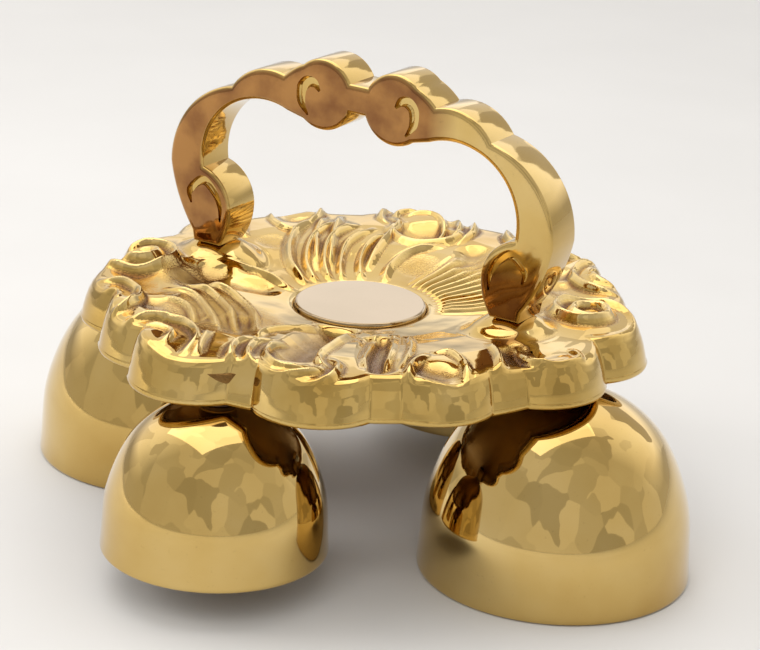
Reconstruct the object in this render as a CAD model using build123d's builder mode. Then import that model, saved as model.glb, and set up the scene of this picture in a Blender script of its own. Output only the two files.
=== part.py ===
"""Sanctus bell: four brass bells hung under a cast scroll plate that is carried by an arched handle.

Frame: millimetres, +Z up. The origin is on the table, under the centre of the plate.
+X runs along the handle towards one of the two large bells, +Y towards a small bell.
"""
from build123d import *
import math
import os

os.makedirs("parts", exist_ok=True)

# ---------------------------------------------------------------- driving dimensions
hang_radius = 71.0           # plate axis to each bell's axis
crown_height = 56.0          # top of every bell above the table
large_mouth = 40.0           # mouth radius of the two bells under the handle's feet
small_mouth = 32.5           # mouth radius of the two bells across the handle
small_rim_height = 11.5      # the small bells are shorter, so their rims hang above the table
bell_wall = 2.0
rim_thickness = 2.6          # the mouth is thicker than the wall above it

plate_core_radius = 76.0     # plate outline between its lobes
plate_wall = 4.5             # thickness of the hollow casting
lobe_radius = 20.0           # plan radius of a lobe
disc_radius = 19.7           # polished medallion
disc_top = 65.6
disc_thickness = 3.0

foot_x = 52.7                # handle foot to the plate axis
foot_seat_z = 74.0           # top of the collars that the feet stand on
handle_depth = 14.4          # handle's width across the arch
screw_seat_z = 61.0          # underside of the bosses that the handle's screws clamp

thread_radius = 2.5          # M5 throughout
shank_radius = 2.4
clearance_radius = 2.75
boss_radius = 6.5            # under the plate, one for each bell
boss_thread_depth = 10.0
foot_thread_depth = 12.0
running_gap = 0.3            # between the loose rings of a clapper

# ---------------------------------------------------------------- heights inside a bell
leather_thickness = 1.5
boss_bottom = crown_height + leather_thickness
plate_skirt_z = boss_bottom  # the skirt's lower edge is level with the bosses that the bells hang from
crown_inside = crown_height - bell_wall
leather_radius = 6.0
washer_thickness = 0.8
handle_washer_radius = 5.0
clamp_washer_radius = 5.5
nut_thickness = 2.8
nut_half_width = 4.0         # half the distance across the flats
nut_bottom = crown_inside - washer_thickness - nut_thickness

eye_wire = 0.9               # wire radius of the eyebolt's and the clapper's eyes
eye_ring = 2.6               # radius of an eye's centre line
link_wire = 0.8
link_ring = 3.4
rod_radius = 1.3

shank_below_nut = 1.5
eye_centre = nut_bottom - 0.6 - eye_ring - eye_wire
link_pivot = eye_centre - eye_ring
link_centre = link_pivot + eye_wire + running_gap + link_wire - link_ring
clapper_pivot = link_centre - link_ring
clapper_eye_centre = clapper_pivot + link_wire + running_gap + eye_wire - eye_ring
rod_top = clapper_eye_centre - eye_ring

# name, direction from the plate axis, mouth radius, rim height, ball radius, ball centre above the rim
bells = [
    ("large_right", 0, large_mouth, 0.0, 9.0, 12.0),
    ("small_back", 90, small_mouth, small_rim_height, 7.5, 8.7),
    ("large_left", 180, large_mouth, 0.0, 9.0, 12.0),
    ("small_front", 270, small_mouth, small_rim_height, 7.5, 8.7),
]

# outline of the plate: direction and reach of each scroll, tongue or knob round the edge
lobes = [
    (16, 87.0), (-6, 85.0), (-38, 81.0), (-67, 84.0), (-99, 87.0), (-122, 81.0), (-147, 83.0),
    (-172, 81.0), (164, 82.0), (140, 80.0), (112, 82.0), (85, 80.0), (60, 83.0), (38, 82.0),
]


def save(part, name):
    """Label a finished piece and write it under its node name."""
    part.label = name
    export_step(part, f"parts/{name}.step")


def point_at(angle, radius):
    """Plan position at a distance from the plate axis in a given direction, in degrees."""
    return radius * math.cos(math.radians(angle)), radius * math.sin(math.radians(angle))


# ---------------------------------------------------------------- plate
seat_z = disc_top - disc_thickness
seat_radius = 26.0           # flat ring floor round the medallion
crest_radius = 58.0
crest_z = 71.0
edge_z = 66.5
trim_radius = 92.0           # beyond every lobe, so that the outline alone trims the dish
above_plate = 80.0
collar_radius = 8.0
collar_points = [(foot_x, 0), (-foot_x, 0)]
bell_points = [point_at(angle, hang_radius) for _, angle, *_ in bells]

# everything above the dished top of the casting
with BuildPart() as dish:
    with BuildSketch(Plane.XZ):
        with BuildLine():
            Line((0, seat_z), (seat_radius, seat_z))
            Spline(
                (seat_radius, seat_z), (crest_radius, crest_z), (trim_radius, edge_z),
                tangents=[(1, 0.12), (1, -0.28)],
            )
            Polyline((trim_radius, edge_z), (trim_radius, above_plate), (0, above_plate), (0, seat_z))
        make_face()
    revolve(axis=Axis.Z)


def scalloped_outline(inset):
    """The plate's outline in plan, drawn the given distance inside its edge."""
    Circle(plate_core_radius - inset)
    for lobe_angle, lobe_reach in lobes:
        with Locations(point_at(lobe_angle, lobe_reach - lobe_radius)):
            Circle(lobe_radius - inset)


# the hollow back follows the outline and the dish, one wall thickness further in
with BuildPart() as hollow:
    with BuildSketch(Plane.XY.offset(plate_skirt_z)):
        scalloped_outline(plate_wall)
    extrude(amount=crest_z - plate_skirt_z)
    add(dish.part.moved(Location((0, 0, -plate_wall))), mode=Mode.SUBTRACT)

with BuildPart() as plate:
    with BuildSketch(Plane.XY.offset(plate_skirt_z)):
        scalloped_outline(0)
    extrude(amount=above_plate - 1.0 - plate_skirt_z)
    add(dish.part, mode=Mode.SUBTRACT)
    add(hollow.part, mode=Mode.SUBTRACT)
    # bosses under the plate for the bells' eyebolts and for the handle's screws, collars above for its feet
    with BuildSketch(Plane.XY.offset(boss_bottom)):
        with Locations(*bell_points):
            Circle(boss_radius)
    extrude(amount=crest_z - plate_wall - boss_bottom)
    with BuildSketch(Plane.XY.offset(screw_seat_z)):
        with Locations(*collar_points):
            Circle(collar_radius)
    extrude(amount=foot_seat_z - screw_seat_z)
    with BuildSketch(Plane.XY.offset(boss_bottom)):
        with Locations(*bell_points):
            Circle(thread_radius)
    extrude(amount=boss_thread_depth, mode=Mode.SUBTRACT)
    with BuildSketch(Plane.XY.offset(plate_skirt_z)):
        with Locations(*collar_points):
            Circle(clearance_radius)
        Circle(clearance_radius)
    extrude(amount=above_plate - plate_skirt_z, mode=Mode.SUBTRACT)
save(plate.part, "plate")

# ---------------------------------------------------------------- medallion in the middle of the plate
stud_length = 12.0
with BuildPart() as medallion:
    with BuildSketch(Plane.XY.offset(seat_z)):
        Circle(disc_radius)
    extrude(amount=disc_thickness)
    fillet(medallion.faces().sort_by(Axis.Z)[-1].edges(), radius=0.8)
    with BuildSketch(Plane.XY.offset(seat_z)):
        Circle(shank_radius)
    extrude(amount=-stud_length)
save(medallion.part, "medallion")


def hex_nut(bottom, points):
    """M5 thin nuts with their lower faces at one height, one solid at each point."""
    with BuildPart() as nuts:
        with BuildSketch(Plane.XY.offset(bottom)):
            with Locations(*points):
                RegularPolygon(radius=nut_half_width, side_count=6, major_radius=False)
                Circle(thread_radius, mode=Mode.SUBTRACT)
        extrude(amount=nut_thickness)
    return nuts.part


def flat_washer(bottom, thickness, outer, points):
    """Flat washers with their lower faces at one height, one solid at each point."""
    with BuildPart() as washers:
        with BuildSketch(Plane.XY.offset(bottom)):
            with Locations(*points):
                Circle(outer)
                Circle(clearance_radius, mode=Mode.SUBTRACT)
        extrude(amount=thickness)
    return washers.part


save(hex_nut(seat_z - plate_wall - nut_thickness, [(0, 0)]), "medallion_nut")

# ---------------------------------------------------------------- handle
# right half of the arch, seen along the row's Y axis; the left half mirrors it
volute_centre = (12.5, 128.3)        # scroll at the top of each half
volute_radius = 10.6
web_top = 133.2                      # short bridge that joins the two scrolls
web_bottom = 124.7
handle_top = volute_centre[1] + volute_radius
foot_outer = (57.4, foot_seat_z)
foot_inner = (48.0, foot_seat_z)
foot_knee = (54.4, 98.0)             # where the inner arch meets the foot's scroll
first_nick = (26.2, 131.7)
second_nick = (44.9, 124.9)
shoulder = (66.8, 98.0)
recess_depth = 1.2                   # comma-shaped recesses in the scrolls
top_recess_width = 3.0
foot_recess_width = 2.6
volute_back = (volute_centre[0] + 7.0, volute_centre[1] + math.sqrt(volute_radius**2 - 49.0))
volute_belly = (18.9, volute_centre[1] - math.sqrt(volute_radius**2 - 6.4**2))


def volute_side(height):
    """Inner side of the top scroll at a given height."""
    rise = height - volute_centre[1]
    return volute_centre[0] - math.sqrt(volute_radius**2 - rise**2), height


with BuildPart() as handle:
    with BuildSketch(Plane.XZ):
        with BuildLine():
            Line((0, web_top), volute_side(web_top))
            ThreePointArc(volute_side(web_top), (volute_centre[0], handle_top), volute_back)
            ThreePointArc(volute_back, (23.8, 133.8), first_nick)
            ThreePointArc(first_nick, (36.6, 131.5), second_nick)
            ThreePointArc(second_nick, (60.2, 116.0), shoulder)
            ThreePointArc(shoulder, (64.0, 88.0), (58.0, 77.3))
            Polyline((58.0, 77.3), foot_outer, foot_inner)
            ThreePointArc(foot_inner, (45.0, 80.0), (44.2, 86.2))
            ThreePointArc((44.2, 86.2), (47.6, 94.0), foot_knee)
            ThreePointArc(foot_knee, (51.8, 112.1), (39.3, 121.8))
            ThreePointArc((39.3, 121.8), (32.0, 122.8), (24.6, 121.2))
            Line((24.6, 121.2), volute_belly)
            ThreePointArc(volute_belly, (volute_centre[0], volute_centre[1] - volute_radius),
                          volute_side(web_bottom))
            Line(volute_side(web_bottom), (0, web_bottom))
            Line((0, web_bottom), (0, web_top))
        make_face()
        mirror(about=Plane.YZ)
    extrude(amount=handle_depth / 2, both=True)
    # comma-shaped recess in each scroll, on both faces
    for face_y in (-handle_depth / 2, handle_depth / 2):
        for side in (-1, 1):
            with BuildSketch(Plane.XZ.offset(-face_y)):
                with BuildLine(mode=Mode.PRIVATE):
                    top_comma = ThreePointArc((side * 10.5, 131.5), (side * 17.5, 128.5), (side * 14.0, 121.5))
                    foot_comma = ThreePointArc((side * 48.0, 84.5), (side * 52.5, 92.0), (side * 57.0, 87.0))
                SlotArc(top_comma, top_recess_width)
                SlotArc(foot_comma, foot_recess_width)
            extrude(amount=recess_depth, both=True, mode=Mode.SUBTRACT)
    with BuildSketch(Plane.XY.offset(foot_seat_z)):
        with Locations(*collar_points):
            Circle(thread_radius)
    extrude(amount=foot_thread_depth, mode=Mode.SUBTRACT)
save(handle.part, "handle")

# the two screws that hold the handle, and their washers, are under the plate
screw_head_radius = 4.4
screw_head_height = 3.0
screw_length = 22.0
driver_slot_width = 1.2
driver_slot_depth = 1.4
washer_bottom = screw_seat_z - washer_thickness
save(flat_washer(washer_bottom, washer_thickness, handle_washer_radius, collar_points), "handle_washers")

with BuildPart() as handle_screws:
    with BuildSketch(Plane.XY.offset(washer_bottom - screw_head_height)):
        with Locations(*collar_points):
            Circle(screw_head_radius)
    extrude(amount=screw_head_height)
    with BuildSketch(Plane.XY.offset(washer_bottom)):
        with Locations(*collar_points):
            Circle(shank_radius)
    extrude(amount=screw_length)
    with BuildSketch(Plane.XY.offset(washer_bottom - screw_head_height)):
        with Locations(*collar_points):
            SlotOverall(2 * screw_head_radius - 1.0, driver_slot_width)
    extrude(amount=driver_slot_depth, mode=Mode.SUBTRACT)
save(handle_screws.part, "handle_screws")


# ---------------------------------------------------------------- bells
def bell_shell(stand, mouth, height):
    """A short, full-shouldered bell: nearly straight skirt, blunt dome, flat seat at the crown."""
    skirt = 0.30 * height
    skirt_radius = 0.975 * mouth
    shoulder = 0.72 * height
    shoulder_radius = 0.79 * mouth
    seat_radius = leather_radius
    hole_radius = thread_radius + 0.25
    land = 0.8                       # the mouth's edge is chamfered this much, inside and out
    with BuildPart() as shell:
        with BuildSketch(Plane(origin=stand.origin, x_dir=stand.x_dir, z_dir=-stand.y_dir)):
            with BuildLine():
                outer = Spline(
                    (mouth, land), (skirt_radius, skirt), (shoulder_radius, shoulder), (seat_radius, height),
                    tangents=[(-0.02, 1), (-1, 0.12)],
                )
                Polyline(outer @ 1, (hole_radius, height), (hole_radius, height - bell_wall),
                         (seat_radius, height - bell_wall))
                inner = Spline(
                    (seat_radius, height - bell_wall),
                    (shoulder_radius - 0.8 * bell_wall, shoulder - 0.6 * bell_wall),
                    (skirt_radius - bell_wall, skirt), (mouth - rim_thickness, land),
                    tangents=[(1, -0.12), (0.02, -1)],
                )
                Polyline(inner @ 1, (mouth - rim_thickness + land, 0), (mouth - land, 0), outer @ 0)
            make_face()
        revolve(axis=Axis(stand.origin, stand.z_dir))
    return shell.part


def ring_at(stand, height, normal):
    """Plane at a height on a bell's axis, square to the hole of an eye or a link."""
    return Plane(origin=stand.from_local_coords((0, 0, height)), z_dir=normal)


for name, angle, mouth, rim_z, ball_radius, ball_rise in bells:
    bell_x, bell_y = point_at(angle, hang_radius)
    # x_dir runs round the plate, so that the clapper swings towards and away from the plate axis
    stand = Plane(origin=(bell_x, bell_y, 0), x_dir=(*point_at(angle + 90, 1), 0), z_dir=(0, 0, 1))
    ball_z = rim_z + ball_rise

    save(bell_shell(stand.offset(rim_z), mouth, crown_height - rim_z), f"{name}_bell")
    save(flat_washer(crown_height, leather_thickness, leather_radius, [(bell_x, bell_y)]), f"{name}_crown_leather")
    save(flat_washer(crown_inside - washer_thickness, washer_thickness, clamp_washer_radius, [(bell_x, bell_y)]),
         f"{name}_clamp_washer")
    save(hex_nut(nut_bottom, [(bell_x, bell_y)]), f"{name}_crown_nut")

    with BuildPart() as eyebolt:
        with BuildSketch(stand.offset(nut_bottom - shank_below_nut)):
            Circle(shank_radius)
        extrude(amount=boss_bottom + boss_thread_depth - 1.0 - nut_bottom + shank_below_nut)
        with Locations(ring_at(stand, eye_centre, stand.y_dir)):
            Torus(eye_ring, eye_wire)
    save(eyebolt.part, f"{name}_eyebolt")

    with BuildPart() as link:
        with Locations(ring_at(stand, link_centre, stand.x_dir)):
            Torus(link_ring, link_wire)
    save(link.part, f"{name}_link")

    with BuildPart() as clapper_rod:
        with Locations(ring_at(stand, clapper_eye_centre, stand.y_dir)):
            Torus(eye_ring, eye_wire)
        with BuildSketch(stand.offset(ball_z)):
            Circle(rod_radius)
        extrude(amount=rod_top - ball_z)
    save(clapper_rod.part, f"{name}_clapper_rod")

    with BuildPart() as clapper_ball:
        with Locations(stand.offset(ball_z)):
            Sphere(ball_radius)
        with BuildSketch(stand.offset(ball_z)):
            Circle(rod_radius + 0.05)
        extrude(amount=ball_radius + 1.0, mode=Mode.SUBTRACT)
    save(clapper_ball.part, f"{name}_clapper_ball")
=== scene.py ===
"""Looks of the sanctus bell: a cast scroll plate, a scrolled handle and four polished bells in a soft studio.

Lengths are written in millimetres in the part's own frame and become metres when a mesh is made.
"""
import math

import bpy
import numpy as np
from mathutils import Matrix, Vector, noise
from mathutils.geometry import delaunay_2d_cdt


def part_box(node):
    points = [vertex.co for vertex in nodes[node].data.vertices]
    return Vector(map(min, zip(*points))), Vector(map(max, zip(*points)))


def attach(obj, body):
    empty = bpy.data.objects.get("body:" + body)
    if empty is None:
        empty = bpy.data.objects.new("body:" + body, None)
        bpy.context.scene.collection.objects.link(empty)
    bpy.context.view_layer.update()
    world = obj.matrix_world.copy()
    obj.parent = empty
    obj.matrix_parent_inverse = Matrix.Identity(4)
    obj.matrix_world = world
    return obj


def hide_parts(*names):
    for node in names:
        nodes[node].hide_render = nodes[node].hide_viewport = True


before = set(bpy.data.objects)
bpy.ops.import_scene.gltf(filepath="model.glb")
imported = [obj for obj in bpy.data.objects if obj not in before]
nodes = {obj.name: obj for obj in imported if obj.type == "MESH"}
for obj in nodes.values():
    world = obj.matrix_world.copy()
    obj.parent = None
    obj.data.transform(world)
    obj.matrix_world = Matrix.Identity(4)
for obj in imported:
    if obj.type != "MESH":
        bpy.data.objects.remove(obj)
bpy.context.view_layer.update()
MM = 0.001

bell_names = ["large_right", "small_back", "large_left", "small_front"]


def box_mm(node):
    """Lowest and highest corner of a CAD node, in millimetres."""
    low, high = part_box(node)
    return np.array(low) / MM, np.array(high) / MM


def box_centre(node):
    """Plan position of the middle of a CAD node."""
    low, high = box_mm(node)
    return (low[0] + high[0]) / 2, (low[1] + high[1]) / 2


# ---------------------------------------------------------------- sizes taken from the frame
skirt_z = box_mm("plate")[0][2]
disc_radius, _, disc_top = box_mm("medallion")[1]
foot_seat_z = box_mm("handle")[0][2]
handle_half_depth = box_mm("handle")[1][1]
seat_z = disc_top - 3.0      # the medallion is 3 mm thick
foot_x = 52.7                # middle of the handle's right foot
wall = 4.5                   # thickness of the plate


# ---------------------------------------------------------------- camera
def add_camera():
    """The photograph's viewpoint: well in front, to the right and above, tilted a little."""
    data = bpy.data.cameras.new("camera")
    data.lens = 126.2
    data.sensor_width = 36.0
    camera = bpy.data.objects.new("camera", data)
    bpy.context.scene.collection.objects.link(camera)
    place = Vector((402.1, -632.6, 330.4)) * MM
    turn = 0.558
    dip = 0.348
    roll = 0.052
    camera.matrix_world = (
        Matrix.Translation(place)
        @ Matrix.Rotation(turn, 4, "Z")
        @ Matrix.Rotation(math.pi / 2 - dip, 4, "X")
        @ Matrix.Rotation(roll, 4, "Z")
    )
    bpy.context.scene.camera = camera


# ---------------------------------------------------------------- node helpers
def new_tree(material_name):
    """A material with an empty node tree, and the tree's shader."""
    material = bpy.data.materials.new(material_name)
    material.use_nodes = True
    tree = material.node_tree
    tree.nodes.clear()
    output = tree.nodes.new("ShaderNodeOutputMaterial")
    shader = tree.nodes.new("ShaderNodeBsdfPrincipled")
    tree.links.new(shader.outputs["BSDF"], output.inputs["Surface"])
    return material, tree, shader


def texture(tree, kind, scale, detail=2.0, roughness=0.5, stretch=(1, 1, 1)):
    """A noise or Voronoi texture in object space; scale is in features per metre."""
    place = tree.nodes.new("ShaderNodeTexCoord")
    mapping = tree.nodes.new("ShaderNodeMapping")
    mapping.inputs["Scale"].default_value = stretch
    tree.links.new(place.outputs["Object"], mapping.inputs["Vector"])
    result = tree.nodes.new(kind)
    result.inputs["Scale"].default_value = scale
    if "Detail" in result.inputs:
        result.inputs["Detail"].default_value = detail
    if "Roughness" in result.inputs:
        result.inputs["Roughness"].default_value = roughness
    tree.links.new(mapping.outputs["Vector"], result.inputs["Vector"])
    return result


def ramp(tree, value, stops):
    """A colour ramp over value; stops are (place, colour) with a grey number or three components."""
    result = tree.nodes.new("ShaderNodeValToRGB")
    elements = result.color_ramp.elements
    while len(elements) < len(stops):
        elements.new(0.5)
    for element, (place, colour) in zip(elements, stops):
        element.position = place
        if isinstance(colour, (int, float)):
            colour = (colour, colour, colour)
        element.color = (*colour, 1.0)
    tree.links.new(value, result.inputs["Fac"])
    return result.outputs["Color"]


def spread(tree, value, low, high):
    """value from 0 to 1 spread over low to high."""
    result = tree.nodes.new("ShaderNodeMapRange")
    result.inputs["To Min"].default_value = low
    result.inputs["To Max"].default_value = high
    tree.links.new(value, result.inputs["Value"])
    return result.outputs["Result"]


def spread_from(tree, value, low, high):
    """value from low to high brought to 0 to 1."""
    result = tree.nodes.new("ShaderNodeMapRange")
    result.inputs["From Min"].default_value = low
    result.inputs["From Max"].default_value = high
    tree.links.new(value, result.inputs["Value"])
    return result.outputs["Result"]


def blend_colours(tree, kind, amount, first, second):
    """first and second joined by a Mix node; amount is a number or a socket."""
    result = tree.nodes.new("ShaderNodeMix")
    result.data_type = "RGBA"
    result.blend_type = kind
    if isinstance(amount, (int, float)):
        result.inputs["Factor"].default_value = amount
    else:
        tree.links.new(amount, result.inputs["Factor"])
    for socket, colour in ((result.inputs[6], first), (result.inputs[7], second)):
        if isinstance(colour, tuple):
            socket.default_value = (*colour, 1.0)
        else:
            tree.links.new(colour, socket)
    return result.outputs[2]


def arithmetic(tree, operation, first, second):
    """first and second, each a number or a socket, joined by a Math node."""
    result = tree.nodes.new("ShaderNodeMath")
    result.operation = operation
    for socket, value in zip(result.inputs, (first, second)):
        if isinstance(value, (int, float)):
            socket.default_value = value
        else:
            tree.links.new(value, socket)
    return result.outputs["Value"]


def add_bump(tree, shader, height, distance_mm):
    """Bump from a height socket, over a real depth."""
    bump = tree.nodes.new("ShaderNodeBump")
    bump.inputs["Strength"].default_value = 1.0
    bump.inputs["Distance"].default_value = distance_mm * MM
    tree.links.new(height, bump.inputs["Height"])
    tree.links.new(bump.outputs["Normal"], shader.inputs["Normal"])


# ---------------------------------------------------------------- materials
gold_deep = (0.53, 0.335, 0.085)
gold_mid = (0.62, 0.425, 0.135)
gold_pale = (0.70, 0.515, 0.215)
# the two amber colours paint a dark reflection and shade onto the handle's flat faces
amber = (0.22, 0.085, 0.02)
amber_light = (0.40, 0.19, 0.05)
# dark brown painted shade for the plate's hollows and its back
painted_hollow_shade = (0.20, 0.09, 0.022)
medallion_golds = ((0.40, 0.295, 0.165), (0.44, 0.325, 0.19), (0.49, 0.365, 0.22))


def polished_brass(name, roughness, waviness, colours=(gold_deep, gold_mid, gold_pale), with_painted_reflection=False):
    """Lacquered mirror brass with faint cloudiness, polishing waves and hairline scratches."""
    material, tree, shader = new_tree(name)
    clouds = texture(tree, "ShaderNodeTexNoise", 22.0, detail=4.0)
    base = ramp(tree, clouds.outputs["Fac"], list(zip((0.30, 0.52, 0.78), colours)))
    # The handle's copy gets a painted dark amber reflection and shade on its flat faces.
    if with_painted_reflection:
        base = painted_dark_reflection(tree, base)
    specks = texture(tree, "ShaderNodeTexNoise", 900.0, detail=3.0)
    speck_mask = ramp(tree, specks.outputs["Fac"], [(0.66, 1.0), (0.80, 0.72)])
    tree.links.new(blend_colours(tree, "MULTIPLY", 0.5, base, speck_mask), shader.inputs["Base Color"])
    shader.inputs["Metallic"].default_value = 1.0
    hairlines = texture(tree, "ShaderNodeTexNoise", 300.0, detail=5.0, stretch=(1.0, 1.0, 14.0))
    smears = texture(tree, "ShaderNodeTexNoise", 60.0, detail=3.0)
    finish = arithmetic(tree, "MULTIPLY", hairlines.outputs["Fac"], smears.outputs["Fac"])
    tree.links.new(spread(tree, finish, roughness * 0.5, roughness * 2.6), shader.inputs["Roughness"])
    waves = texture(tree, "ShaderNodeTexNoise", 45.0, detail=1.0)
    add_bump(tree, shader, waves.outputs["Fac"], waviness)
    shader.inputs["Coat Weight"].default_value = 0.5
    shader.inputs["Coat Roughness"].default_value = 0.04
    return material


def painted_dark_reflection(tree, base):
    """Painted dark amber reflection and shade on the handle's flat faces, at its left side and at both feet.
    """
    place = tree.nodes.new("ShaderNodeTexCoord")
    axes = tree.nodes.new("ShaderNodeSeparateXYZ")
    tree.links.new(place.outputs["Object"], axes.inputs["Vector"])
    depth = arithmetic(tree, "ABSOLUTE", axes.outputs["Y"], 0.0)
    on_face = spread_from(tree, depth, (handle_half_depth - 0.5) * MM, (handle_half_depth - 0.1) * MM)
    on_left = spread_from(tree, axes.outputs["X"], 34 * MM, 24 * MM)
    at_foot = spread_from(tree, axes.outputs["Z"], 94 * MM, 86 * MM)
    amount = arithmetic(tree, "MULTIPLY", on_face, arithmetic(tree, "MAXIMUM", on_left, at_foot))
    reflection_mottle = texture(tree, "ShaderNodeTexNoise", 90.0, detail=4.0)
    mottled_reflection = ramp(tree, reflection_mottle.outputs["Fac"], [(0.36, amber), (0.62, amber_light)])
    return blend_colours(tree, "MIX", amount, base, mottled_reflection)


def cast_brass():
    """Brass casting: bright painted highlight on the crests, browner painted shade in the hollows, granular
    where it was left matt.
    """
    material, tree, shader = new_tree("cast_brass_painted_shading")
    cavity = tree.nodes.new("ShaderNodeAttribute")
    cavity.attribute_name = "cavity"
    matt = tree.nodes.new("ShaderNodeAttribute")
    matt.attribute_name = "matt"
    clouds = texture(tree, "ShaderNodeTexNoise", 40.0, detail=5.0)
    base = ramp(tree, clouds.outputs["Fac"], [(0.32, gold_deep), (0.52, gold_mid), (0.74, gold_pale)])
    # The cavity attribute paints shade into the hollows and a pale gold highlight onto the crests.
    in_groove = ramp(tree, cavity.outputs["Fac"], [(0.58, 0.0), (0.95, 1.0)])
    shade_painted = blend_colours(tree, "MIX", in_groove, base, painted_hollow_shade)
    on_crest = ramp(tree, cavity.outputs["Fac"], [(0.20, 1.0), (0.45, 0.0)])
    tree.links.new(blend_colours(tree, "MIX", on_crest, shade_painted, gold_pale), shader.inputs["Base Color"])
    shader.inputs["Metallic"].default_value = 1.0
    grain = texture(tree, "ShaderNodeTexVoronoi", 1500.0)
    pits = texture(tree, "ShaderNodeTexNoise", 1100.0, detail=4.0, roughness=0.7)
    dull_groove = arithmetic(tree, "MULTIPLY", in_groove, 0.6)
    rough_part = arithmetic(tree, "MAXIMUM", matt.outputs["Fac"], dull_groove)
    smears = texture(tree, "ShaderNodeTexNoise", 120.0, detail=3.0)
    polish = spread(tree, smears.outputs["Fac"], 0.02, 0.09)
    dulled = arithmetic(tree, "MULTIPLY", rough_part, 0.34)
    tree.links.new(arithmetic(tree, "ADD", polish, dulled), shader.inputs["Roughness"])
    granular = arithmetic(tree, "ADD", grain.outputs["Distance"], pits.outputs["Fac"])
    masked = arithmetic(tree, "MULTIPLY", granular, rough_part)
    add_bump(tree, shader, masked, 0.20)
    shader.inputs["Coat Weight"].default_value = 0.1
    shader.inputs["Coat Roughness"].default_value = 0.04
    return material


def turned_brass():
    """Lathe-turned brass with fine rings round the vertical, for clappers."""
    material, tree, shader = new_tree("turned_brass")
    rings = texture(tree, "ShaderNodeTexNoise", 60.0, detail=3.0, stretch=(0.3, 0.3, 40.0))
    base = ramp(tree, rings.outputs["Fac"], [(0.3, gold_deep), (0.7, gold_mid)])
    tree.links.new(base, shader.inputs["Base Color"])
    shader.inputs["Metallic"].default_value = 1.0
    tree.links.new(spread(tree, rings.outputs["Fac"], 0.14, 0.36), shader.inputs["Roughness"])
    add_bump(tree, shader, rings.outputs["Fac"], 0.03)
    return material


def zinc_steel():
    """Bright zinc-plated steel, slightly mottled and scratched."""
    material, tree, shader = new_tree("zinc_steel")
    mottle = texture(tree, "ShaderNodeTexNoise", 500.0, detail=4.0)
    base = ramp(tree, mottle.outputs["Fac"], [(0.3, (0.40, 0.41, 0.41)), (0.7, (0.62, 0.62, 0.60))])
    tree.links.new(base, shader.inputs["Base Color"])
    shader.inputs["Metallic"].default_value = 1.0
    tree.links.new(spread(tree, mottle.outputs["Fac"], 0.2, 0.45), shader.inputs["Roughness"])
    scratches = texture(tree, "ShaderNodeTexNoise", 1400.0, detail=3.0, stretch=(1.0, 9.0, 1.0))
    add_bump(tree, shader, scratches.outputs["Fac"], 0.03)
    return material


def washer_leather():
    """Natural leather with pores and a darker, rougher grain."""
    material, tree, shader = new_tree("washer_leather")
    hide = texture(tree, "ShaderNodeTexNoise", 300.0, detail=6.0)
    base = ramp(tree, hide.outputs["Fac"], [(0.3, (0.045, 0.020, 0.009)), (0.7, (0.16, 0.075, 0.032))])
    tree.links.new(base, shader.inputs["Base Color"])
    tree.links.new(spread(tree, hide.outputs["Fac"], 0.55, 0.85), shader.inputs["Roughness"])
    pores = texture(tree, "ShaderNodeTexVoronoi", 1800.0)
    add_bump(tree, shader, pores.outputs["Distance"], 0.15)
    return material


# ---------------------------------------------------------------- mesh helpers
def make_piece(name, vertices_mm, faces, material, body):
    """A smooth-shaded mesh piece from millimetre vertices, riding on a body."""
    mesh = bpy.data.meshes.new(name)
    mesh.from_pydata((np.asarray(vertices_mm, dtype=float) * MM).tolist(), [], faces)
    mesh.update()
    mesh.shade_smooth()
    mesh.materials.append(material)
    piece = bpy.data.objects.new(name, mesh)
    bpy.context.scene.collection.objects.link(piece)
    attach(piece, body)
    return piece


def sharpen(piece, angle_degrees):
    """Edges that turn by more than the angle are shaded sharp."""
    piece.data.set_sharp_from_angle(angle=math.radians(angle_degrees))


def ring_faces(rings, around, closed_loop=False):
    """Quads between neighbouring rings of vertices; closed_loop also joins the last ring to the first."""
    faces = []
    last = rings if closed_loop else rings - 1
    for ring in range(last):
        here = ring * around
        beyond = ((ring + 1) % rings) * around
        for step in range(around):
            after = (step + 1) % around
            faces.append((here + step, here + after, beyond + after, beyond + step))
    return faces


def smooth_curve(points, steps=10):
    """Catmull-Rom curve through a few points."""
    points = np.array(points, dtype=float)
    padded = np.vstack([2 * points[0] - points[1], points, 2 * points[-1] - points[-2]])
    fractions = np.linspace(0, 1, steps, endpoint=False)[:, None]
    pieces = []
    for before, start, end, after in zip(padded, padded[1:], padded[2:], padded[3:]):
        pieces.append(0.5 * (
            2 * start + (end - before) * fractions
            + (2 * before - 5 * start + 4 * end - after) * fractions ** 2
            + (3 * start - before - 3 * end + after) * fractions ** 3
        ))
    return np.vstack(pieces + [points[-1:]])


def lathe(centre, profile, around):
    """Vertices and faces of a closed (radius, height) profile turned about a vertical axis."""
    angles = np.linspace(0, 2 * math.pi, around, endpoint=False)
    vertices = []
    for radius, height in profile:
        ring = np.column_stack([
            centre[0] + radius * np.cos(angles),
            centre[1] + radius * np.sin(angles),
            np.full(around, height),
        ])
        vertices.append(ring)
    return np.vstack(vertices), ring_faces(len(profile), around, closed_loop=True)


# ---------------------------------------------------------------- plate: outline and dish
lobe_radius = 20.0
lobes = [                    # direction in degrees, reach of the lobe
    (16, 87.0), (-6, 85.0), (-38, 81.0), (-67, 84.0), (-99, 87.0), (-122, 81.0), (-147, 83.0),
    (-172, 81.0), (164, 82.0), (140, 80.0), (112, 82.0), (85, 80.0), (60, 83.0), (38, 82.0),
]
core_radius = 77.0
edge_roll = 7.0              # width over which the top rolls down to the lip
lip_height = 1.7
skirt_insets = [0, 0.5, 1.2, 2.0, 3.0, 4.0, 5.2, 7.0]       # steep panel below a rounded crest
skirt_rise = [0, 0.22, 0.46, 0.66, 0.84, 0.94, 0.985, 1.0]


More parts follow.
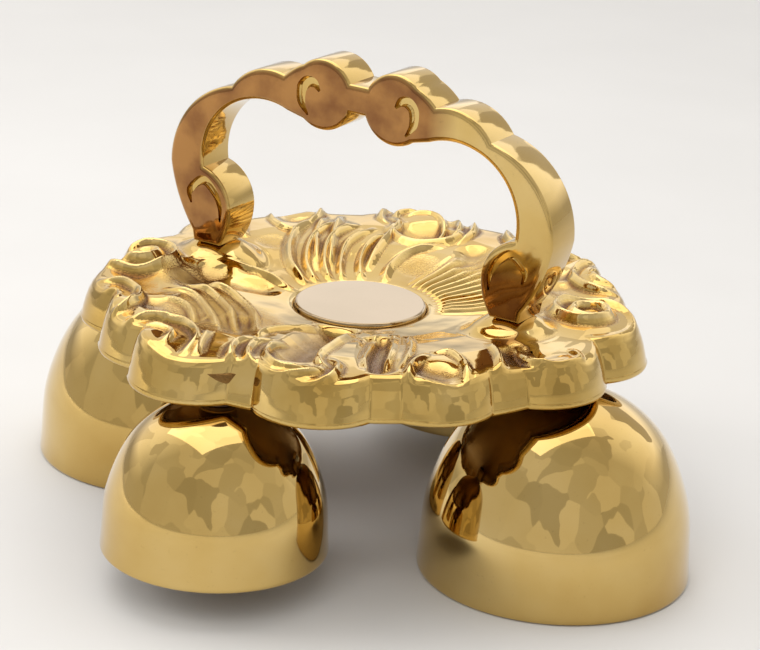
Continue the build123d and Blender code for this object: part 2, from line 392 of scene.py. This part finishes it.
def reach_at(angles):
    """Distance from the plate axis to its edge, for directions in radians all the way round."""
    reach = np.full_like(angles, core_radius)
    for lobe_angle, lobe_reach in lobes:
        centre = lobe_reach - lobe_radius
        turn = angles - math.radians(lobe_angle)
        room = lobe_radius ** 2 - (centre * np.sin(turn)) ** 2
        ahead = (room > 0) & (np.cos(turn) > 0)
        far_side = centre * np.cos(turn) + np.sqrt(np.maximum(room, 0))
        reach = np.maximum(reach, np.where(ahead, far_side, 0))
    around_it = np.roll(reach, 3) + np.roll(reach, -3) + np.roll(reach, 6) + np.roll(reach, -6)
    return np.minimum(reach, around_it / 4 + 1)


def dish_z(radius):
    """Height of the plain dish: a sunk seat for the medallion, a rising flank and a rounded crest."""
    places = [0, disc_radius + 0.3, disc_radius + 0.5, disc_radius + 1.6, 34, 46, 60, 72, 95]
    heights = [seat_z, seat_z, disc_top - 1.3, disc_top - 0.8, 66.6, 69.0, 70.4, 70.2, 68.8]
    return np.interp(radius, places, heights)


# ---------------------------------------------------------------- plate: relief
def spiral(centre, outer, inner, turns, start_degrees):
    """Points of a spiral that winds inwards, anticlockwise seen from above."""
    points = []
    count = int(36 * turns)
    for step in range(count + 1):
        part = step / count
        radius = outer * (inner / outer) ** part
        angle = math.radians(start_degrees + 360 * turns * part)
        points.append((centre[0] + radius * math.cos(angle), centre[1] + radius * math.sin(angle)))
    return points


# ridges: points, half-width, height; they taper at both ends
volute_ridges = [
    (spiral((65, 21), 18.0, 2.0, 2.6, -62), 2.7, 2.9),
]
shell_ridges = [
    ([(0, -54), (1, -66), (8, -76), (20, -80), (30, -76.5), (35, -69), (32, -60), (26, -56)], 1.8, 3.0),
    ([(4, -52), (5, -63), (10, -71.5), (20, -76), (27, -73), (30, -67), (27, -61)], 1.6, 2.4),
    ([(8, -50), (9, -60), (13, -67.5), (20, -72), (25, -69.5), (26, -65)], 1.4, 1.7),
    ([(14, -24), (18, -36), (21, -48), (24, -58), (30, -64)], 2.0, 2.2),
    ([(2, -24), (1, -36), (-1, -48), (1, -56)], 1.8, 1.6),
    ([(20, -22), (27, -36), (33, -48), (40, -58)], 1.8, 2.0),
]
facet_ridges = [
    ([(24, -19), (33, -34), (39, -46), (43, -54)], 1.8, 1.8),
    ([(28, -18), (38, -32), (43, -42), (46, -50)], 1.5, 1.4),
    ([(45, -34), (48, -48), (55, -58), (66, -54), (71, -42), (68, -34)], 1.9, 2.6),
    ([(45, -34), (50, -31), (58, -36), (64, -44)], 1.6, 1.6),
]
tongue_ridges = [
    ([(54, -16), (62, -24), (68, -34), (68, -46)], 2.0, 2.2),
    ([(60, -12), (70, -20), (78, -18), (80, -10), (74, -5)], 1.8, 2.4),
    ([(68, -46), (74, -34), (80, -22), (84, -8)], 2.2, 3.0),
]
knob_ridges = [
    ([(-64, -46), (-54, -44), (-44, -50), (-42, -62), (-48, -70)], 1.8, 2.6),
    ([(-60, -53), (-53, -51), (-48, -56), (-50, -64)], 1.5, 1.5),
    ([(-38, -72), (-31, -63), (-20, -61), (-10, -68), (-7, -80)], 1.9, 2.8),
    ([(-32, -76), (-26, -69), (-18, -69), (-15, -78)], 1.5, 1.6),
    ([(-44, -22), (-30, -24), (-16, -33), (-4, -48)], 1.8, 2.0),
    ([(-47, -30), (-34, -30), (-20, -39), (-8, -52)], 1.6, 1.8),
    ([(-46, -37), (-34, -37), (-22, -46), (-10, -57)], 1.6, 1.6),
    ([(-40, -44), (-30, -46), (-21, -54)], 1.5, 1.4),
    ([(-12, -60), (-8, -69), (-4, -78)], 1.7, 1.8),
]
leaf_ridges = [
    ([(-20, -4), (-34, -2), (-46, -8), (-57, -20)], 1.8, 1.8),
    ([(-20, 2), (-34, 12), (-44, 28), (-47, 44)], 2.4, 2.6),
    ([(-19, 6), (-30, 15), (-38, 30), (-40, 46)], 1.6, 1.9),
    ([(-17, 10), (-26, 19), (-33, 33), (-34, 50)], 1.7, 2.2),
    ([(-15, 13), (-22, 22), (-28, 35), (-28, 51)], 1.6, 1.8),
    ([(-11, 17), (-18, 27), (-22, 38), (-21, 50)], 1.8, 2.3),
    ([(-5, 20), (-9, 30), (-9, 42), (-2, 52)], 2.0, 2.0),
    ([(-24, 62), (-23, 53), (-14, 48), (-5, 52), (-3, 61), (-12, 66)], 3.0, 2.2),
]
# swells and hollows: points, half-width, height above or below the dish
shell_forms = [
    ([(8, -26), (12, -42), (17, -60)], 8.5, -4.2),
    ([(25, -28), (34, -44), (40, -52)], 6.5, -3.0),
    ([(20, -74), (21, -76)], 17.0, 1.6),
]
facet_forms = [
    ([(54, -44), (62, -46)], 8.0, -2.2),
    ([(60, -56), (62, -58)], 10.0, 1.4),
]
tongue_forms = [
    ([(74, -36), (82, -16)], 10.0, 1.6),
    ([(62, -16), (72, -28)], 7.0, -2.6),
]
volute_forms = [
    ([(64, 20), (66, 22)], 21.0, 1.5),
    ([(42, 26), (47, 12)], 8.0, -1.8),
]
knob_forms = [
    ([(-53, -58), (-50, -60)], 12.0, 2.2),
    ([(-23, -76), (-21, -78)], 12.0, 2.2),
    ([(-38, -50), (-24, -54)], 8.0, -2.0),
    ([(-60, -32), (-46, -40)], 9.0, -1.8),
    ([(-12, -44), (-8, -52)], 7.0, -2.0),
]
leaf_forms = [
    ([(-14, 56), (-12, 58)], 11.0, -3.0),
    ([(-30, 20), (-38, 42)], 10.0, 0.8),
    ([(-30, -10), (-46, -20)], 8.0, -2.0),
]


def turned(strokes):
    """The same strokes, half a turn round the plate."""
    return [([(-x, -y) for x, y in points], width, height) for points, width, height in strokes]


ridges = (
    volute_ridges + shell_ridges + facet_ridges + tongue_ridges + knob_ridges + leaf_ridges
    + turned(volute_ridges + shell_ridges[:4] + facet_ridges + tongue_ridges + knob_ridges[:4])
)
forms = (
    volute_forms + shell_forms + facet_forms + tongue_forms + knob_forms + leaf_forms
    + turned(volute_forms + shell_forms[2:] + facet_forms + tongue_forms + knob_forms)
)


def along(points, x, y, width):
    """Which places are within width of a curve, how far they are from it, and how far along they lie."""
    path = smooth_curve(points, 8) if len(points) < 12 else np.array(points)
    low = path.min(axis=0) - width
    high = path.max(axis=0) + width
    near = np.flatnonzero((x > low[0]) & (x < high[0]) & (y > low[1]) & (y < high[1]))
    best = np.full(len(near), 1e9)
    part = np.zeros(len(near))
    lengths = np.linalg.norm(np.diff(path, axis=0), axis=1)
    starts = np.concatenate([[0], np.cumsum(lengths)])
    for index, length in enumerate(lengths):
        direction = (path[index + 1] - path[index]) / length
        dx = x[near] - path[index][0]
        dy = y[near] - path[index][1]
        travel = np.clip(dx * direction[0] + dy * direction[1], 0, length)
        gap = np.hypot(dx - travel * direction[0], dy - travel * direction[1])
        closer = gap < best
        best[closer] = gap[closer]
        part[closer] = (starts[index] + travel[closer]) / starts[-1]
    inside = best < width
    return near[inside], best[inside], part[inside]


def relief_at(x, y, inset):
    """Height of the swells and of the ridges above the dish at each place; ridges sink towards the edge."""
    swell = np.zeros_like(x)
    for points, width, height in forms:
        near, gap, _ = along(points, x, y, width)
        swell[near] += height * (1 - (gap / width) ** 2) ** 2
    crest = np.zeros_like(x)
    for points, width, height in ridges:
        near, gap, part = along(points, x, y, width)
        taper = np.sin(np.clip(np.minimum(part, 1 - part) / 0.28, 0, 1) * math.pi / 2)
        softened = np.sqrt(gap ** 2 + 0.09) - 0.3
        shape = np.clip(1 - softened / width, 0, 1) ** 1.5
        crest[near] = np.maximum(crest[near], height * taper * shape)
    near_edge = np.interp(inset, [2, 5, 9], [0, 0.6, 1])
    return np.where(swell < 0, swell * near_edge, swell), crest * near_edge


def ribs_at(x, y):
    """Fine ribs that fan out from the medallion on its right and its far side."""
    first_angle, last_angle = 14, 88
    first_radius, last_radius = 22, 50
    ribs_per_turn = 62
    rib_height = 0.75
    radius = np.hypot(x, y)
    angle = np.degrees(np.arctan2(y, x))
    fan = np.clip((angle - first_angle) / 8, 0, 1) * np.clip((last_angle - angle) / 8, 0, 1)
    band = np.clip((radius - first_radius) / 5, 0, 1) * np.clip((last_radius - radius) / 8, 0, 1)
    sway = 60 * np.sin(radius / 9)
    return rib_height * fan * band * np.cos(np.radians(angle * ribs_per_turn + sway))


def foot_mounds(x, y, z):
    """Raises a smooth mound with a small flat seat under each foot of the handle."""
    seat_radius = 4.2
    mound_z = foot_seat_z - 0.02
    for side in (-1, 1):
        gap = np.hypot(x - side * foot_x, y)
        mound = mound_z - 0.13 * np.maximum(gap - seat_radius, 0) ** 1.65
        blend = np.clip(0.5 + (mound - z) / 4.0, 0, 1)
        z = z + blend * (mound - z) + blend * (1 - blend)
        z = np.where(gap < seat_radius, mound_z, z)
    return z


def casting_waves(x, y):
    """Slight hand-finished unevenness of a casting."""
    heights = []
    for px, py in zip(x, y):
        broad = noise.noise(Vector((px / 9, py / 9, 0.3))) * 0.25
        fine = noise.noise(Vector((px / 3, py / 3, 4.1))) * 0.025
        heights.append(broad + fine)
    return np.array(heights)


def blurred(field, passes):
    """field averaged with its neighbours round the plate and across it."""
    for _ in range(passes):
        across = np.vstack([field[:1], field, field[-1:]])
        field = (field + np.roll(field, 1, 1) + np.roll(field, -1, 1) + across[:-2] + across[2:]) / 5
    return field


def matt_patches(x, y):
    """0 to 1: where the hollows were left granular from the mould."""
    patches = [(-20, -44, 20), (46, 24, 12), (-46, -24, 10), (22, 46, 18), (-2, 36, 8), (-46, 20, 6)]
    matt = np.zeros_like(x)
    for centre_x, centre_y, size in patches:
        gap = np.hypot(x - centre_x, y - centre_y)
        matt = np.maximum(matt, np.clip(1.6 - 1.6 * gap / size, 0, 1))
    return matt


plate_around = 1080          # vertices in each ring of the plate
middle_radius = 3.0          # hole under the medallion, where the stud passes


def plate_top(angles, reach):
    """Radius and height of the rings from under the medallion to the lip, and how hollow each place is."""
    flat_rings = 150
    roll_rings = 30
    inner = disc_radius + 0.9
    radii = [np.full(plate_around, r) for r in (middle_radius, disc_radius + 0.3, disc_radius + 0.5)]
    sink = [np.ones(plate_around)] * 3
    for step in range(flat_rings):
        radii.append(inner + (reach - edge_roll - inner) * step / flat_rings)
        sink.append(np.ones(plate_around))
    for step in range(roll_rings + 1):
        roll_inset = edge_roll * (1 - step / roll_rings) ** 1.5
        radii.append(reach - roll_inset)
        sink.append(np.full(plate_around, np.interp(roll_inset, skirt_insets, skirt_rise)))
    radius = np.array(radii)
    sink = np.array(sink)
    x = radius * np.cos(angles)
    y = radius * np.sin(angles)
    inset = reach - radius
    flat_x, flat_y = x.ravel(), y.ravel()
    swell, crest = relief_at(flat_x, flat_y, inset.ravel())
    relief = swell + crest + ribs_at(flat_x, flat_y) + casting_waves(flat_x, flat_y)
    relief = relief.reshape(x.shape) * np.clip((radius - inner - 0.3) / 4, 0, 1)
    surface = foot_mounds(x, y, dish_z(radius) + relief)
    lip_z = skirt_z + lip_height
    height = lip_z + (surface - lip_z) * sink
    # groove and basin make the cavity value, which paints shade in the hollows and a highlight on the crests
    groove = (blurred(height, 24) - height) * 0.9 * np.interp(inset, [0, 5, 10], [0, 0.2, 1])
    basin = np.clip(-swell.reshape(x.shape) / 4, 0, 1) * 0.28
    return radius, height, np.clip(0.5 + groove + basin, 0, 1)


def lip_rings(reach):
    """Rings of the thin lip round the skirt's foot: its outer edge, its foot and its inner edge."""
    outer = reach + 0.35
    steps = [(0.0, lip_height - 0.5), (0.25, 0.3), (0.6, 0.0), (2.6, 0.0), (2.9, 0.3)]
    return [(outer - inset, np.full(plate_around, skirt_z + rise)) for inset, rise in steps]


def back_rings(reach):
    """Rings of the hollow back: up the inside of the skirt, then across under the dish."""
    bend_rings = 26
    bend = 7.0
    foot_inset = 3.4
    foot_z = skirt_z + 1.0
    rings = []
    for step in range(bend_rings + 1):
        turn = step / bend_rings * math.pi / 2
        radius = reach - foot_inset - bend * (1 - math.cos(turn))
        ceiling = dish_z(radius) - wall
        rings.append((radius, foot_z + (ceiling - foot_z) * math.sin(turn)))
    for part in np.linspace(0.05, 1, 20):
        radius = (reach - foot_inset - bend) * (1 - part) + middle_radius * part
        rings.append((radius, dish_z(radius) - wall))
    return rings


def boss_profile(radius, bottom):
    """Closed (radius, height) profile of a bored boss that widens into the plate's back."""
    bore = 2.6
    top = 66.5
    return [
        (bore, bottom), (radius - 0.5, bottom), (radius - 0.15, bottom + 0.15), (radius, bottom + 0.5),
        (radius, bottom + 2.0), (radius + 0.8, bottom + 3.8), (radius + 2.4, top), (bore, top),
    ]


def build_plate(material):
    """The hollow scroll plate: relief on top, rolled edge, thin lip, plain back and bosses."""
    angles = np.linspace(0, 2 * math.pi, plate_around, endpoint=False)
    reach = reach_at(angles)
    top_radius, top_height, cavity = plate_top(angles, reach)
    lip = lip_rings(reach)
    below = lip + back_rings(reach)
    radius = np.vstack([top_radius] + [ring for ring, _ in below])
    height = np.vstack([top_height] + [level for _, level in below])
    x = (radius * np.cos(angles)).ravel()
    y = (radius * np.sin(angles)).ravel()
    vertices = np.column_stack([x, y, height.ravel()])
    faces = ring_faces(len(radius), plate_around, closed_loop=True)

    bosses = [(box_centre(f"{name}_crown_leather"), 6.5, skirt_z) for name in bell_names]
    bosses += [((side * foot_x, 0), 8.0, skirt_z + 3.5) for side in (-1, 1)]
    for centre, boss_radius, bottom in bosses:
        boss_vertices, boss_faces = lathe(centre, boss_profile(boss_radius, bottom), 64)
        faces += [tuple(index + len(vertices) for index in face) for face in boss_faces]
        vertices = np.vstack([vertices, boss_vertices])

    piece = make_piece("cast_plate", vertices, faces, material, "root")
    top_end = top_radius.size
    lip_end = top_end + len(lip) * plate_around
    matt = matt_patches(x[:top_end], y[:top_end])
    # cavity 0.9 on the back paints shade under the plate; 0.5 on the lip leaves it neutral
    for name, on_top, on_lip, behind in (("cavity", cavity.ravel(), 0.5, 0.9), ("matt", matt, 0.1, 0.7)):
        values = np.full(len(vertices), behind)
        values[:lip_end] = on_lip
        values[:top_end] = on_top
        piece.data.attributes.new(name, "FLOAT", "POINT").data.foreach_set("value", values)
    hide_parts("plate")


# ---------------------------------------------------------------- handle
def arc_through(start, middle, end, steps=14):
    """Points of the circular arc through three points, without the last."""
    (ax, ay), (bx, by), (cx, cy) = start, middle, end
    d = 2 * (ax * (by - cy) + bx * (cy - ay) + cx * (ay - by))
    ux = ((ax**2 + ay**2) * (by - cy) + (bx**2 + by**2) * (cy - ay) + (cx**2 + cy**2) * (ay - by)) / d
    uy = ((ax**2 + ay**2) * (cx - bx) + (bx**2 + by**2) * (ax - cx) + (cx**2 + cy**2) * (bx - ax)) / d
    radius = math.hypot(ax - ux, ay - uy)
    first = math.atan2(ay - uy, ax - ux)
    via = (math.atan2(by - uy, bx - ux) - first) % (2 * math.pi)
    sweep = (math.atan2(cy - uy, cx - ux) - first) % (2 * math.pi)
    if via > sweep:
        sweep -= 2 * math.pi
    angles = [first + sweep * step / steps for step in range(steps)]
    return [(ux + radius * math.cos(angle), uy + radius * math.sin(angle)) for angle in angles]


volute_centre = (12.5, 128.3)
volute_radius = 10.6


def volute_side(height):
    """Inner side of the top scroll at a height."""
    rise = height - volute_centre[1]
    return volute_centre[0] - math.sqrt(volute_radius ** 2 - rise ** 2), height


def handle_outline():
    """Outline of the whole arch in (x, z), anticlockwise, from the right half and its mirror image."""
    web_top = volute_side(133.2)
    web_bottom = volute_side(124.7)
    volute_top = (volute_centre[0], volute_centre[1] + volute_radius)
    volute_back = (volute_centre[0] + 7.0, volute_centre[1] + math.sqrt(volute_radius ** 2 - 7.0 ** 2))
    volute_belly = (volute_centre[0] + 6.4, volute_centre[1] - math.sqrt(volute_radius ** 2 - 6.4 ** 2))
    volute_foot = (volute_centre[0], volute_centre[1] - volute_radius)
    first_nick = (26.2, 131.7)
    second_nick = (44.9, 124.9)
    shoulder = (66.8, 98.0)
    under_arch = (39.3, 121.8)
    knee = (54.4, 98.0)
    heel = (44.2, 86.2)
    foot_inner = (48.0, foot_seat_z)
    foot_outer = (57.4, foot_seat_z)
    half = []
    half += arc_through(web_bottom, volute_foot, volute_belly, 22)
    half += [volute_belly]
    half += arc_through((24.6, 121.2), (32.0, 122.8), under_arch, 10)
    half += arc_through(under_arch, (51.8, 112.1), knee, 24)
    half += arc_through(knee, (47.6, 94.0), heel, 12)
    half += arc_through(heel, (45.0, 80.0), foot_inner, 12)
    half += [foot_inner, foot_outer]
    half += arc_through((58.0, 77.3), (64.0, 88.0), shoulder, 16)
    half += arc_through(shoulder, (60.2, 116.0), second_nick, 22)
    half += arc_through(second_nick, (36.6, 131.5), first_nick, 14)
    half += arc_through(first_nick, (23.8, 133.8), volute_back, 6)
    half += arc_through(volute_back, volute_top, web_top, 26)
    half += [web_top]
    mirrored = [(-x, z) for x, z in reversed(half)]
    return np.array(half + mirrored)


def inset_loop(loop, distance):
    """The closed loop moved inwards; it runs anticlockwise."""
    before = loop - np.roll(loop, 1, axis=0)
    after = np.roll(loop, -1, axis=0) - loop
    before /= np.linalg.norm(before, axis=1)[:, None]
    after /= np.linalg.norm(after, axis=1)[:, None]
    tangent = before + after
    tangent /= np.linalg.norm(tangent, axis=1)[:, None]
    spread_out = 1 / np.clip((tangent * before).sum(axis=1), 0.6, 1)
    normal = np.column_stack([-tangent[:, 1], tangent[:, 0]])
    return loop + normal * (distance * spread_out)[:, None]


def ribbon_loop(points, widths):
    """Closed anticlockwise outline of a curve whose half-width changes along it."""
    path = smooth_curve(points, 8)
    places = np.linspace(0, 1, len(path))
    half = np.interp(places, np.linspace(0, 1, len(widths)), widths)
    tangent = np.gradient(path, axis=0)
    tangent /= np.linalg.norm(tangent, axis=1)[:, None]
    normal = np.column_stack([-tangent[:, 1], tangent[:, 0]])
    loop = np.vstack([path - normal * half[:, None], (path + normal * half[:, None])[::-1]])
    x, z = loop[:, 0], loop[:, 1]
    if (x * np.roll(z, -1) - np.roll(x, -1) * z).sum() < 0:
        loop = loop[::-1]
    return loop


vx, vz = volute_centre
volute_hook = [(vx + 4.4, vz - 6.8), (vx + 6.8, vz - 3.2), (vx + 6.8, vz + 1.0),
               (vx + 4.8, vz + 3.2), (vx + 2.4, vz + 3.0), (vx + 0.6, vz + 1.0)]
foot_hook = [(58.2, 86.0), (58.8, 90.0), (54.2, 94.0), (50.0, 91.3), (47.6, 87.0), (47.4, 82.0)]
handle_recesses = [          # centre line of the hooked recess, half-widths along it
    (volute_hook, [0.3, 1.4, 1.8, 1.8, 1.4, 0.4]),
    (foot_hook, [0.3, 1.2, 1.5, 1.3, 0.9, 0.3]),
]
edge_width = 1.8             # the rounded edge, measured on the face
edge_drop = 1.2              # and measured on the band
edge_turns = np.linspace(0, math.pi / 2, 7)
recess_steps = [(0.10, 0.25), (0.18, 1.1), (0.45, 1.5)]      # part of the width lost, depth


def recess_outlines():
    """Outlines of the recesses on the right half and, mirrored, on the left."""
    loops = []
    for points, widths in handle_recesses:
        right = ribbon_loop(points, widths)
        loops += [right, np.column_stack([-right[::-1, 0], right[::-1, 1]])]
    return loops


def add_strip(faces, first, second, count, forwards):
    """Quads between two closed rings of count vertices, which start at first and second."""
    for step in range(count):
        after = (step + 1) % count
        quad = (first + step, first + after, second + after, second + step)
        faces.append(quad if forwards else quad[::-1])


def add_band(vertices, faces, outline):
    """The band seen edge on: a rounded edge at each face and the surface between them."""
    count = len(outline)
    rings = len(edge_turns)
    for side in (1, -1):
        for turn in edge_turns:
            loop = inset_loop(outline, edge_width * (1 - math.cos(turn)))
            depth = handle_half_depth - edge_drop * (1 - math.sin(turn))
            vertices += [(x, side * depth, z) for x, z in loop]
        start = 0 if side == 1 else rings * count
        for ring in range(rings - 1):
            here = start + ring * count
            add_strip(faces, here, here + count, count, forwards=(side == -1))
    add_strip(faces, 0, rings * count, count, forwards=True)


def add_flat_face(vertices, faces, outline, recess_loops, side):
    """One flat face, pierced by the recesses; gives the first vertex of each recess."""
    count = len(outline)
    rings = len(edge_turns)
    flat_loop = inset_loop(outline, edge_width)
    first = ((0 if side == 1 else rings) + rings - 1) * count
    index_of = list(range(first, first + count))
    points = [Vector(point) for point in flat_loop]
    edges = [(step, (step + 1) % count) for step in range(count)]
    bases = []
    for loop in recess_loops:
        start = len(points)
        size = len(loop)
        points += [Vector(point) for point in loop]
        edges += [(start + step, start + (step + 1) % size) for step in range(size)]
        bases.append(len(vertices))
        index_of += list(range(len(vertices), len(vertices) + size))
        vertices += [(x, side * handle_half_depth, z) for x, z in loop]
    out_points, _, triangles, origins, *_ = delaunay_2d_cdt(points, edges, [], 0, 1e-5)
    mapping = []
    for point, origin in zip(out_points, origins):
        if origin:
            mapping.append(index_of[origin[0]])
        else:
            mapping.append(len(vertices))
            vertices.append((point.x, side * handle_half_depth, point.y))
    for triangle in triangles:
        centre = sum((out_points[corner] for corner in triangle), Vector((0, 0))) / len(triangle)
        if inside(centre, flat_loop) and not any(inside(centre, loop) for loop in recess_loops):
            face = tuple(mapping[corner] for corner in triangle)
            faces.append(face[::-1] if side == 1 else face)
    return bases


def add_recess(vertices, faces, loop, base, side):
    """Steep walls and a flat floor below a recess's outline."""
    size = len(loop)
    previous = base
    for part, depth in recess_steps:
        ring = len(vertices)
        vertices += [(x, side * (handle_half_depth - depth), z) for x, z in shrink(loop, part)]
        add_strip(faces, previous, ring, size, forwards=(side == -1))
        previous = ring
    for step in range(size // 2 - 1):
        opposite = previous + size - 1 - step
        quad = (previous + step, previous + step + 1, opposite - 1, opposite)
        faces.append(quad[::-1] if side == 1 else quad)


def build_handle(material):
    """The arched band: rounded edges, a hooked recess in each scroll, on both faces."""
    outline = handle_outline()
    recess_loops = recess_outlines()
    vertices = []
    faces = []
    add_band(vertices, faces, outline)
    for side in (1, -1):
        bases = add_flat_face(vertices, faces, outline, recess_loops, side)
        for loop, base in zip(recess_loops, bases):
            add_recess(vertices, faces, loop, base, side)
    piece = make_piece("scroll_handle", vertices, faces, material, "root")
    sharpen(piece, 32)
    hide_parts("handle")


def inside(point, loop):
    """Whether a plan point is inside a closed loop."""
    x, y = point
    x0, y0 = loop[:, 0], loop[:, 1]
    x1, y1 = np.roll(x0, -1), np.roll(y0, -1)
    crosses = (y0 > y) != (y1 > y)
    with np.errstate(divide="ignore", invalid="ignore"):
        hit = x < (x1 - x0) * (y - y0) / (y1 - y0) + x0
    return bool(np.count_nonzero(crosses & hit) % 2)


def shrink(loop, part):
    """The ribbon loop drawn in towards its centre line by a part of its width."""
    across = loop[::-1]
    return loop * (1 - part / 2) + across * (part / 2)


# ---------------------------------------------------------------- bells
def bell_profile(mouth, rim_z, crown_z):
    """Closed (radius, height) profile of a bell's wall, rim first."""
    height = crown_z - rim_z
    bore = 2.8
    shape = [(0.02, 1.0), (0.10, 0.992), (0.30, 0.975), (0.42, 0.945), (0.55, 0.885), (0.66, 0.815),
             (0.76, 0.725), (0.85, 0.60), (0.92, 0.455), (0.97, 0.29), (1.0, 0.15)]
    outer = smooth_curve([(mouth * part, rim_z + height * rise) for rise, part in shape], 7)
    lip = [(2.4, 0.5), (2.0, 0.05), (1.2, 0.0), (0.35, 0.1), (0.05, 0.45)]     # inset, rise
    rim = [(mouth - inset, rim_z + rise) for inset, rise in lip]
    inner = []
    for radius, z in outer[::-1]:
        part = (z - rim_z) / height
        thickness = 2.0 + 0.5 * (1 - min(part / 0.3, 1))
        slope = min(max((part - 0.55) / 0.45, 0), 1)
        inner.append((max(radius - thickness * (1 - 0.55 * slope), bore), z - thickness * slope))
    return rim + [tuple(point) for point in outer] + [(bore, crown_z)] + inner


def build_bell(name, material):
    """A polished bell, turned from its profile."""
    low, high = box_mm(f"{name}_bell")
    mouth = (high[0] - low[0]) / 2
    vertices, faces = lathe(box_centre(f"{name}_bell"), bell_profile(mouth, low[2], high[2]), 192)
    faces = [face[::-1] for face in faces]
    piece = make_piece(f"{name}_polished_bell", vertices, faces, material, "root")
    sharpen(piece, 50)
    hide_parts(f"{name}_bell")


# ---------------------------------------------------------------- studio
def add_world():
    """A pale light tent: soft, faintly creased panels all round, brighter behind the object."""
    world = bpy.data.worlds.new("tent")
    bpy.context.scene.world = world
    world.use_nodes = True
    tree = world.node_tree
    tree.nodes.clear()
    output = tree.nodes.new("ShaderNodeOutputWorld")
    place = tree.nodes.new("ShaderNodeTexCoord")
    ripple = tree.nodes.new("ShaderNodeTexNoise")
    ripple.inputs["Scale"].default_value = 1.6
    tree.links.new(place.outputs["Generated"], ripple.inputs["Vector"])
    bent = blend_colours(tree, "ADD", 0.7, place.outputs["Generated"], ripple.outputs["Color"])
    creases = tree.nodes.new("ShaderNodeTexVoronoi")
    creases.inputs["Scale"].default_value = 2.6
    tree.links.new(bent, creases.inputs["Vector"])
    cell = tree.nodes.new("ShaderNodeSeparateColor")
    tree.links.new(creases.outputs["Color"], cell.inputs["Color"])
    panels = ramp(tree, cell.outputs["Red"], [(0.0, (0.47, 0.45, 0.41)), (1.0, (0.80, 0.77, 0.72))])
    towards_back = tree.nodes.new("ShaderNodeVectorMath")
    towards_back.operation = "DOT_PRODUCT"
    towards_back.inputs[1].default_value = (-0.50, 0.80, 0.33)
    tree.links.new(place.outputs["Generated"], towards_back.inputs[0])
    sector = ramp(tree, spread_from(tree, towards_back.outputs["Value"], -1, 1), [(0.55, 0.0), (0.85, 1.0)])
    axes = tree.nodes.new("ShaderNodeSeparateXYZ")
    tree.links.new(place.outputs["Generated"], axes.inputs["Vector"])
    above_horizon = spread_from(tree, axes.outputs["Z"], 0.08, 0.26)
    backdrop = arithmetic(tree, "MULTIPLY", sector, above_horizon)
    lit_panels = ramp(tree, cell.outputs["Green"], [(0.15, (0.62, 0.58, 0.52)), (0.6, (1.5, 1.47, 1.46))])
    tent = blend_colours(tree, "MIX", backdrop, panels, lit_panels)
    glow = tree.nodes.new("ShaderNodeBackground")
    tree.links.new(tent, glow.inputs["Color"])
    glow.inputs["Strength"].default_value = 1.0
    plain = tree.nodes.new("ShaderNodeBackground")
    plain.inputs["Color"].default_value = (0.93, 0.93, 0.93, 1)
    path = tree.nodes.new("ShaderNodeLightPath")
    mix = tree.nodes.new("ShaderNodeMixShader")
    tree.links.new(path.outputs["Is Camera Ray"], mix.inputs["Fac"])
    tree.links.new(glow.outputs["Background"], mix.inputs[1])
    tree.links.new(plain.outputs["Background"], mix.inputs[2])
    tree.links.new(mix.outputs["Shader"], output.inputs["Surface"])


def add_light(name, place_mm, size_mm, power, seen=True, colour=(1.0, 0.97, 0.93)):
    """A soft square panel that looks at the middle of the object."""
    data = bpy.data.lights.new(name, "AREA")
    data.energy = power
    data.size = size_mm * MM
    data.color = colour
    light = bpy.data.objects.new(name, data)
    bpy.context.scene.collection.objects.link(light)
    light.location = Vector(place_mm) * MM
    light.visible_glossy = seen
    towards = Vector((0, 0, 70 * MM)) - light.location
    light.rotation_euler = towards.to_track_quat("-Z", "Y").to_euler()


def add_floor():
    """A plain pale floor."""
    material, tree, shader = new_tree("pale_floor")
    grain = texture(tree, "ShaderNodeTexNoise", 8.0, detail=3.0)
    mottled = ramp(tree, grain.outputs["Fac"], [(0.3, 0.64), (0.7, 0.67)])
    tree.links.new(mottled, shader.inputs["Base Color"])
    shader.inputs["Roughness"].default_value = 0.7
    bpy.ops.mesh.primitive_circle_add(vertices=96, radius=4.0, fill_type="NGON", location=(0, 0, -0.0002))
    floor = bpy.context.object
    floor.name = "floor"
    floor.data.materials.append(material)


# ---------------------------------------------------------------- put together
add_camera()
add_world()
add_light("overhead", (-200, 100, 900), 900, 3.2)
add_light("left_panel", (-900, -500, 500), 500, 4.0, seen=False)
add_light("floor_wash", (300, -900, 900), 900, 5.0, seen=False)
add_floor()

bell_brass = polished_brass("bell_polish", 0.045, 0.05)
# the handle's brass carries a painted dark amber reflection and shade on its flat faces
handle_brass = polished_brass("handle_polish", 0.075, 0.10, with_painted_reflection=True)
medallion_brass = polished_brass("medallion_polish", 0.05, 0.02, medallion_golds)
plate_brass = cast_brass()
clapper_brass = turned_brass()
steel = zinc_steel()
leather = washer_leather()

build_plate(plate_brass)
build_handle(handle_brass)
for bell_name in bell_names:
    build_bell(bell_name, bell_brass)

finishes = {                 # by the end of the CAD node's name
    "medallion": medallion_brass,
    "medallion_nut": steel,
    "handle_screws": steel,
    "handle_washers": steel,
    "_crown_leather": leather,
    "_clamp_washer": steel,
    "_crown_nut": steel,
    "_eyebolt": steel,
    "_link": steel,
    "_clapper_rod": clapper_brass,
    "_clapper_ball": clapper_brass,
}
for node_name, node in nodes.items():
    for ending, finish in finishes.items():
        if node_name.endswith(ending):
            node.data.materials.clear()
            node.data.materials.append(finish)

bpy.context.scene.view_settings.view_transform = "Standard"
